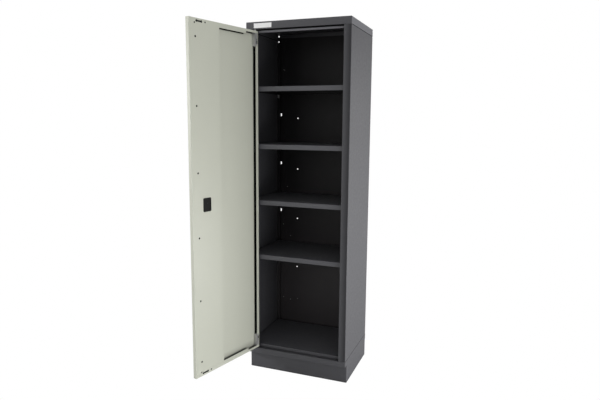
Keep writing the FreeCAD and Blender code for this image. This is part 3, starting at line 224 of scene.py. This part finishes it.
def carcass_areas(shader):
    """Painted light and shade on the cabinet, all fixed to the cabinet: shadow lines in the
    seams, painted shade inside, under the fascia and on the stile's bend, and painted highlights
    on the lid's side band, the shelf rims, the level faces inside and the stop strip.
    """
    axes = shader.node("ShaderNodeSeparateXYZ", Vector=shader.place).outputs
    off_middle = (shader.math("ABSOLUTE", axes["X"]), axes["Y"], axes["Z"])
    facing = shader.node("ShaderNodeTexCoord").outputs["Normal"]
    facing = shader.node("ShaderNodeSeparateXYZ", Vector=facing).outputs
    upright = shader.math("LESS_THAN", shader.math("ABSOLUTE", facing["Z"]), 0.5)
    level = shader.math("SUBTRACT", 1.0, upright)
    lid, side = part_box("lid"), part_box("side_panel_right")
    back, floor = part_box("back_panel"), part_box("floor_panel")
    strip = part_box("lintel_rail")
    wide, front = lid[1].x, lid[0].y
    past, sheet, stile_edge = 0.001, 0.002, 0.03
    shelf_front, behind_shelf_front = -0.1965, -0.1935
    strip_low, strip_high = strip[0].z - 0.0005, strip[0].z + 0.0095

    # Painted shade: the laps behind the seam gaps at the base and under the lid are made nearly
    # black without gloss, as shadow lines.
    base_seam = (side[0].z - 0.0008, side[0].z + 0.0024)
    lid_seam = (lid[0].z - 0.0023, lid[0].z + 0.0006)
    for low, high in (base_seam, lid_seam):
        seam = shader.inside(off_middle, (wide - 0.01, front + 0.003, low),
                             (wide + past, back[1].y, high))
        yield seam, grey(0.03), 0.0

    # Painted highlight: the lid's side band is made lighter and glossier than the side panel
    # below it.
    lid_side = shader.inside(off_middle, (wide - 0.0004, front + 0.001, lid[0].z + 0.0006),
                             (wide + past, lid[1].y - 0.001, lid[1].z - 0.001))
    yield lid_side, grey(1.8), 1.3

    # Painted shade: the upright faces inside get darker with height, most between 0.5 and 1.2 m,
    # in a warm grey and with less gloss
    inner = shader.inside(axes, (sheet - wide, front + 0.035, floor[0].z),
                          (wide - sheet, back[0].y + 0.0004, lid[1].z - sheet))
    wall_shade = shader.mix(shader.spread(axes["Z"], 0.0, 1.0, start=0.5, end=1.2),
                       (0.85, 0.78, 0.74, 1.0), (0.32, 0.30, 0.29, 1.0))
    yield shader.math("MULTIPLY", inner, upright), wall_shade, 0.4

    # Painted highlight: the shelves' front rims are made lighter.
    shelf_rims = shader.inside(axes, (sheet - wide, shelf_front, floor[0].z),
                               (wide - sheet, behind_shelf_front, strip[0].z))
    yield shelf_rims, grey(1.3), 1.0
    # Painted light: the level faces inside are made lighter.
    yield shader.math("MULTIPLY", inner, level), grey(1.3), 1.0

    # Painted shade: the faces under the fascia, above the stop strip's lowest part, are made
    # nearly black with little gloss.
    under_fascia = shader.inside(axes, (0.005 - wide, front + 0.0005, strip_high),
                                 (wide - stile_edge, front + 0.06, lid[0].z + 0.0015))
    yield under_fascia, grey(0.10), 0.1
    # Painted highlight: the lowest 10 mm of the stop strip under the fascia is made much lighter
    # and glossier.
    stop_strip = shader.inside(axes, (0.005 - wide, front + 0.015, strip_low),
                               (wide - stile_edge, front + 0.06, strip_high))
    yield stop_strip, grey(2.4), 1.3

    # Painted shade: the front of the right stile gets darker and less glossy towards its outer
    # corner.
    stile = shader.inside(axes, (wide - 0.045, front - past, side[0].z),
                          (wide + past, front + 0.0004, lid[0].z))
    to_corner = shader.spread(axes["X"], 0.1, 1.0, start=wide - 0.036, end=wide - 0.008)
    yield shader.math("MULTIPLY", stile, to_corner), grey(0.5), 0.5


def door_areas(shader):
    """Painted shade in the closed folds of the door, above its bottom lip and round its peg
    holes, in the door's own place: x from the hinge, z up.
    """
    turned = shader.node("ShaderNodeMapping", Vector=shader.place, Location=DOOR_PIVOT,
                         Rotation=(0, 0, -DOOR_OPEN))
    turned.vector_type = "TEXTURE"
    axes = shader.node("ShaderNodeSeparateXYZ", Vector=turned.outputs["Vector"]).outputs
    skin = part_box("door_skin")
    low, high = skin[0].z, skin[1].z
    edge, bracket = 0.0006, 0.078
    lips = (low + 0.012, high - 0.015)
    sheet_depth = (DOOR_OUTER, DOOR_LIP_FACE)

    def area(across, upwards, depth=(-1, 1)):
        return shader.inside(axes, *zip(across, depth, upwards))

    # Painted shade: the faces hidden in the door's folds, under the top and hinge-side lips, are
    # made nearly black with little gloss; in the bottom fold across the pan only the gloss is
    # lowered.
    hollow = area((DOOR_LEFT, DOOR_RIGHT), (low + edge, high - edge), sheet_depth)
    pan = area((LIP_EDGE, CHANNEL_SEAM), (low + 0.024, high - 0.027))
    ends = area((LIP_EDGE, STEP_EDGE), lips)
    corner = area((NOTCH_EDGE, LIP_EDGE), lips)
    between = area((NOTCH_EDGE, LIP_EDGE), (low + bracket, high - bracket))
    clear = shader.math("MAXIMUM", shader.math("MAXIMUM", pan, ends),
                        shader.math("SUBTRACT", corner, between))
    folds = shader.math("MULTIPLY", hollow, shader.math("SUBTRACT", 1.0, clear))
    lower_fold = area((LIP_EDGE, CHANNEL_SEAM), (low, low + 0.03))
    yield folds, shader.mix(lower_fold, grey(0.03), grey(1.0)), 0.1

    lower_pan = area((LIP_EDGE, CHANNEL_SEAM), (low, low + 0.06), sheet_depth)
    shadow = shader.spread(axes["Z"], 0.45, 0.0, start=low + 0.012, end=low + 0.055)
    yield shader.math("MULTIPLY", lower_pan, shadow), grey(0.35), 0.5

    # Painted shade: a narrow dark rim, with little gloss, round each of the evenly spaced peg
    # holes in the channel
    first, last, count, rim_radius = low + 0.079, high - 0.086, 6, 0.0052
    spacing = (last - first) / (count - 1)
    up = shader.math("WRAP", shader.math("SUBTRACT", axes["Z"], first), spacing / 2, -spacing / 2)
    across = shader.math("SUBTRACT", axes["X"], PEG_LINE)
    away = shader.math("ADD", shader.math("POWER", up, 2.0), shader.math("POWER", across, 2.0))
    rims = shader.math("LESS_THAN", away, rim_radius ** 2)
    inner_face = shader.math("GREATER_THAN", axes["Y"], DOOR_INNER_FACE)
    yield shader.math("MULTIPLY", rims, inner_face), grey(0.05), 0.1


MATERIALS = {
    "carcass_paint": powder_coat("anthracite_coat", ANTHRACITE, roughness=0.42, tint=1.12,
                                 gap_shade=0.25, shade_areas=carcass_areas),
    "door_paint": powder_coat("light_grey_coat", LIGHT_GREY, roughness=0.45, tint=0.97,
                              gap_shade=0.12, shade_areas=door_areas),
    "zinc_plate": plated("zinc_plate", (0.76, 0.76, 0.76), roughness=0.4, metallic=0.6),
    "dark_steel": plated("dark_steel", (0.16, 0.16, 0.165), roughness=0.4),
    "black_plastic": moulded("black_plastic", (0.08, 0.08, 0.075), roughness=0.6),
    "grey_plastic": moulded("grey_plastic", (0.10, 0.10, 0.10), roughness=0.5),
    "lock_metal": plated("nickel", (0.80, 0.80, 0.81), roughness=0.22),
}


# ---------------------------------------------------------------------------
# The CAD pieces: paint and slightly broken edges
# ---------------------------------------------------------------------------

EDGE_BREAK = {
    "carcass_paint": 0.0004,
    "door_paint": 0.0004,
    "black_plastic": 0.0005,
}
SLOT_OF = {part["node"]: part["material_slot"] for part in frame["record"]["subparts"]}


def finish_node(name, node):
    slot = SLOT_OF[name]
    node.data.materials.clear()
    node.data.materials.append(MATERIALS[slot])
    clean = node.modifiers.new("flat_faces", "DECIMATE")
    clean.decimate_type = "DISSOLVE"
    clean.angle_limit = FLAT_ANGLE
    if slot in EDGE_BREAK:
        bevel = node.modifiers.new("edge_break", "BEVEL")
        bevel.width = EDGE_BREAK[slot]
        bevel.segments = 2
        bevel.limit_method = "ANGLE"
        bevel.angle_limit = SHARP_ANGLE
        bevel.harden_normals = True


for node_name, cad_node in NODES.items():
    finish_node(node_name, cad_node)


# ---------------------------------------------------------------------------
# Small things that live only in the picture
# ---------------------------------------------------------------------------

def new_piece(name, mesh, material, body):
    """A mesh from bmesh as a piece that rides on a body."""
    data = bpy.data.meshes.new(name)
    mesh.to_mesh(data)
    mesh.free()
    piece = bpy.data.objects.new(name, data)
    bpy.context.scene.collection.objects.link(piece)
    data.materials.append(material)
    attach(piece, body)
    return piece


def bridge(mesh, rings):
    """Faces between each ring of vertices and the next, and over both ends."""
    for lower, upper in zip(rings, rings[1:]):
        for step in range(len(lower)):
            after = (step + 1) % len(lower)
            mesh.faces.new((lower[step], lower[after], upper[after], upper[step]))
    mesh.faces.new(rings[-1])
    mesh.faces.new(rings[0][::-1])
    bmesh.ops.recalc_face_normals(mesh, faces=mesh.faces)


def turned_head(mesh, centre, facing, outline, steps=20):
    """A round head turned from (radius, height) pairs, its axis along facing."""
    centre, facing = Vector(centre), Vector(facing).normalized()
    across = facing.cross(Vector((0, 0, 1))).normalized()
    up = facing.cross(across)
    rings = []
    for radius, height in outline:
        ring = []
        for step in range(steps):
            turn = math.tau * step / steps
            out = math.cos(turn) * across + math.sin(turn) * up
            ring.append(mesh.verts.new(centre + facing * height + radius * out))
        rings.append(ring)
    bridge(mesh, rings)


def badge():
    """Bare plate with rounded corners on the left end of the fascia."""
    low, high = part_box("lid")
    left, right, bottom, top = -0.2525, -0.1475, high.z - 0.033, high.z - 0.008
    radius, turns = 0.002, 6
    corners = ((right, top, 0), (left, top, 90), (left, bottom, 180), (right, bottom, 270))
    mesh = bmesh.new()
    rings = []
    for y, inset in ((low.y + 0.0002, 0.0), (low.y - 0.0005, 0.0), (low.y - 0.0008, 0.0003)):
        ring = []
        for x, z, start in corners:
            middle_x = x + radius * (1 if x == left else -1)
            middle_z = z + radius * (1 if z == bottom else -1)
            for step in range(turns + 1):
                turn = math.radians(start + 90 / turns * step)
                ring.append(mesh.verts.new((middle_x + (radius - inset) * math.cos(turn), y,
                                            middle_z + (radius - inset) * math.sin(turn))))
        rings.append(ring)
    bridge(mesh, rings)
    new_piece("fascia_plate", mesh, moulded("bare_plate", (0.93, 0.93, 0.93), 0.4),
              "cabinet")


def back_fasteners():
    """Small rivet heads that catch the light on the inside of the back panel."""
    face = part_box("back_panel")[0].y
    places = ((-0.2595, 1.782), (-0.2366, 1.050), (-0.2143, 0.729), (-0.2124, 0.298),
              (-0.1625, 0.308))
    dome = ((0.0026, 0), (0.0025, 0.0005), (0.0018, 0.0011), (0.0007, 0.0014))
    mesh = bmesh.new()
    for x, z in places:
        turned_head(mesh, (x, face + 0.0001, z), (0, -1, 0), dome)
    new_piece("back_rivet_heads", mesh, MATERIALS["zinc_plate"], "cabinet")


def cover_screw():
    """Screw through the lock cover, with a shallow recess in its head."""
    low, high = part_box("lock_cover")
    facing = Vector((math.sin(DOOR_OPEN), math.cos(DOOR_OPEN), 0))
    centre = (low + high) / 2
    above_centre, sunk = 0.009, 0.0001
    depth = max(facing.dot(vertex.co - centre) for vertex in NODES["lock_cover"].data.vertices)
    place = Vector((centre.x, centre.y, centre.z + above_centre)) + facing * (depth - sunk)
    head = ((0.0042, 0), (0.0041, 0.0003), (0.0030, 0.0006), (0.0028, 0.0003), (0.0012, 0.0003))
    mesh = bmesh.new()
    turned_head(mesh, place, facing, head)
    new_piece("cover_screw", mesh, MATERIALS["dark_steel"], "door")


def hinge_spring(end):
    """Coil round a hinge pin, its turns spread evenly over the spring's length. The real spring
    closes up towards its fixed end as the pin is drawn back; this coil is built at one length.
    """
    node = "hinge_spring_" + end
    low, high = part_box(node)
    wire, turns, steps, sides = 0.0005, 5, 28, 10
    radius = (high.x - low.x) / 2 - wire
    centre_x, centre_y = (low.x + high.x) / 2, (low.y + high.y) / 2
    bottom, top = low.z + wire, high.z - wire
    upwards = Vector((0, 0, 1))
    mesh = bmesh.new()
    rings = []
    count = turns * steps
    for step in range(count + 1):
        turn = math.tau * step / steps
        level = bottom + (top - bottom) * step / count
        out = Vector((math.cos(turn), math.sin(turn), 0))
        middle = Vector((centre_x, centre_y, level)) + out * radius
        ring = []
        for side in range(sides):
            around = math.tau * side / sides
            ring.append(mesh.verts.new(
                middle + wire * (math.cos(around) * out + math.sin(around) * upwards)))
        rings.append(ring)
    bridge(mesh, rings)
    for face in mesh.faces:
        face.smooth = True
    spring = new_piece("spring_coil_" + end, mesh, MATERIALS["zinc_plate"], "door")
    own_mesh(spring)
    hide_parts(node)


# ---------------------------------------------------------------------------
# Studio
# ---------------------------------------------------------------------------

# Name, place, target, width and height, watts
SOFTBOXES = (
    ("left_softbox", (-2.4, -1.5, 1.7), (-0.3, -0.6, 1.4), (0.5, 0.9), 30),
    ("front_left_softbox", (-2.6, -3.2, 2.6), (-0.1, -0.4, 1.1), (1.6, 2.4), 4),
    ("front_softbox", (-1.6, -4.2, 1.6), (0.0, -0.2, 1.0), (2.0, 2.4), 17),
    ("front_right_softbox", (2.4, -3.4, 2.8), (0.0, -0.2, 1.0), (1.8, 2.0), 8),
    ("right_low_softbox", (3.0, -1.2, 0.35), (0.0, -0.3, 0.5), (2.2, 0.6), 23),
    ("right_floor_softbox", (1.6, -1.0, 0.05), (0.3, 0.0, 0.9), (1.2, 1.6), 7.5),
    ("side_low_softbox", (2.2, 0.3, 0.2), (0.3, 0.0, 0.3), (1.6, 0.4), 24),
    ("rear_softbox", (3.0, 3.2, 0.9), (0.3, 0.0, 0.9), (2.6, 2.6), 29),
)
WORLD_STRENGTH = 0.45

# The photograph's camera, solved from the carcass edges
CAMERA_LENS, CAMERA_SENSOR = 32.068, 36.0
CAMERA_PLACE = (1.077626, -2.945667, 1.464789)
CAMERA_RIGHT = (0.932136, 0.362048, 0.006595)
CAMERA_UP = (-0.058563, 0.132754, 0.989417)
CAMERA_BACK = (0.357341, -0.922658, 0.144948)


def dark_ground():
    """Nearly black ground under the plinth, painted shade where the plinth casts its shadow, so
    that holes in the tray look down on a dark floor.
    """
    bpy.ops.mesh.primitive_plane_add(size=1, location=(0, 0.012, 0.0005))
    ground = bpy.context.object
    ground.name = "shaded_ground"
    ground.scale = (0.58, 0.39, 1.0)
    shade = Shader("shaded_ground")
    shade.give(Base_Color=grey(0.02), Roughness=1.0, Specular_IOR_Level=0.0)
    ground.data.materials.append(shade.material)


def studio_floor():
    """Pale floor that the camera sees as plain white."""
    bpy.ops.mesh.primitive_plane_add(size=60, location=(0, 0, -0.001))
    floor = bpy.context.object
    floor.name = "studio_floor"
    white = Shader("studio_white")
    white.give(Base_Color=grey(0.85), Roughness=0.9)
    tree = white.tree
    glow = white.node("ShaderNodeEmission", Color=grey(1.0), Strength=1.0)
    seen = white.node("ShaderNodeLightPath").outputs["Is Camera Ray"]
    choice = white.node("ShaderNodeMixShader", Fac=seen)
    tree.links.new(white.main.outputs["BSDF"], choice.inputs[1])
    tree.links.new(glow.outputs["Emission"], choice.inputs[2])
    tree.links.new(choice.outputs["Shader"], tree.nodes["Material Output"].inputs["Surface"])
    floor.data.materials.append(white.material)


def studio_world():
    """Soft light from all round, seen by the camera as plain white."""
    world = bpy.data.worlds.new("studio")
    bpy.context.scene.world = world
    world.use_nodes = True
    tree = world.node_tree
    soft = tree.nodes["Background"]
    seen = tree.nodes.new("ShaderNodeBackground")
    for background, strength in ((soft, WORLD_STRENGTH), (seen, 1.0)):
        background.inputs["Color"].default_value = grey(1.0)
        background.inputs["Strength"].default_value = strength
    ray = tree.nodes.new("ShaderNodeLightPath")
    choice = tree.nodes.new("ShaderNodeMixShader")
    tree.links.new(ray.outputs["Is Camera Ray"], choice.inputs["Fac"])
    tree.links.new(soft.outputs["Background"], choice.inputs[1])
    tree.links.new(seen.outputs["Background"], choice.inputs[2])
    tree.links.new(choice.outputs["Shader"], tree.nodes["World Output"].inputs["Surface"])


def softbox(name, place, target, size, power):
    light = bpy.data.lights.new(name, "AREA")
    light.shape = "RECTANGLE"
    light.size, light.size_y = size
    light.energy = power
    lamp = bpy.data.objects.new(name, light)
    bpy.context.scene.collection.objects.link(lamp)
    lamp.location = place
    aim = Vector(target) - Vector(place)
    lamp.rotation_euler = aim.to_track_quat("-Z", "Y").to_euler()
    lamp.visible_camera = False


def photo_camera():
    data = bpy.data.cameras.new("photo_camera")
    data.sensor_width = CAMERA_SENSOR
    data.lens = CAMERA_LENS
    camera = bpy.data.objects.new("photo_camera", data)
    bpy.context.scene.collection.objects.link(camera)
    axes = Matrix((CAMERA_RIGHT, CAMERA_UP, CAMERA_BACK)).transposed().to_4x4()
    camera.matrix_world = Matrix.Translation(CAMERA_PLACE) @ axes
    bpy.context.scene.camera = camera


badge()
back_fasteners()
cover_screw()
hinge_spring("upper")
hinge_spring("lower")
dark_ground()
studio_floor()
studio_world()
for softbox_values in SOFTBOXES:
    softbox(*softbox_values)
photo_camera()
bpy.context.scene.view_settings.view_transform = "Standard"
